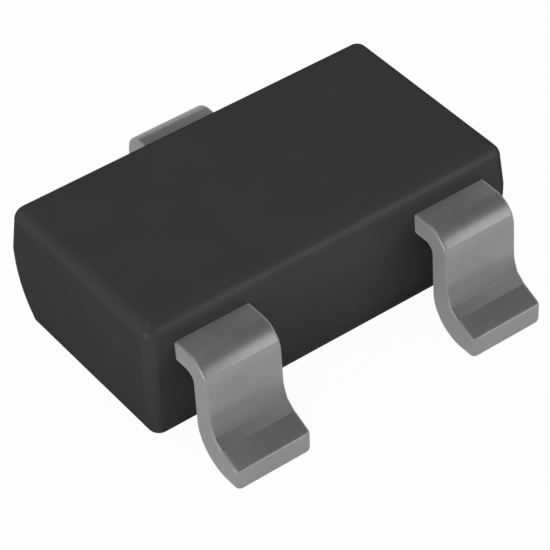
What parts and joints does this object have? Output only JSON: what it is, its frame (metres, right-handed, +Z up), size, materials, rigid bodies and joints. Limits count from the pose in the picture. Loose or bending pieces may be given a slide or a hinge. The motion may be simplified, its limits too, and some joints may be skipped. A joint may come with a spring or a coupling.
{
  "type": "zener diode array",
  "caption": "Surface-mount zener diode array: a moulded plastic body with gull-wing leads, holding a silicon chip on a lead frame with bond wires.",
  "frame": {"origin": "on the seating plane under the feet, below the middle of the body", "axes": "+X along the body, +Y across it towards the common lead, +Z up away from the board"},
  "size_m": [0.003, 0.0028, 0.001],
  "materials": {
    "moulding": "fine matte",
    "lead_frame": "satin tin plating",
    "silicon": "polished",
    "attach": "satin",
    "bond_wire": "polished gold"
  },
  "bodies": {
    "root": {"moulded_body": "moulding", "left_lead": "lead_frame", "right_lead": "lead_frame", "common_lead": "lead_frame", "silicon_chip": "silicon", "chip_attach_layer": "attach", "left_bond_wire": "bond_wire", "right_bond_wire": "bond_wire"}
  },
  "joints": []
}
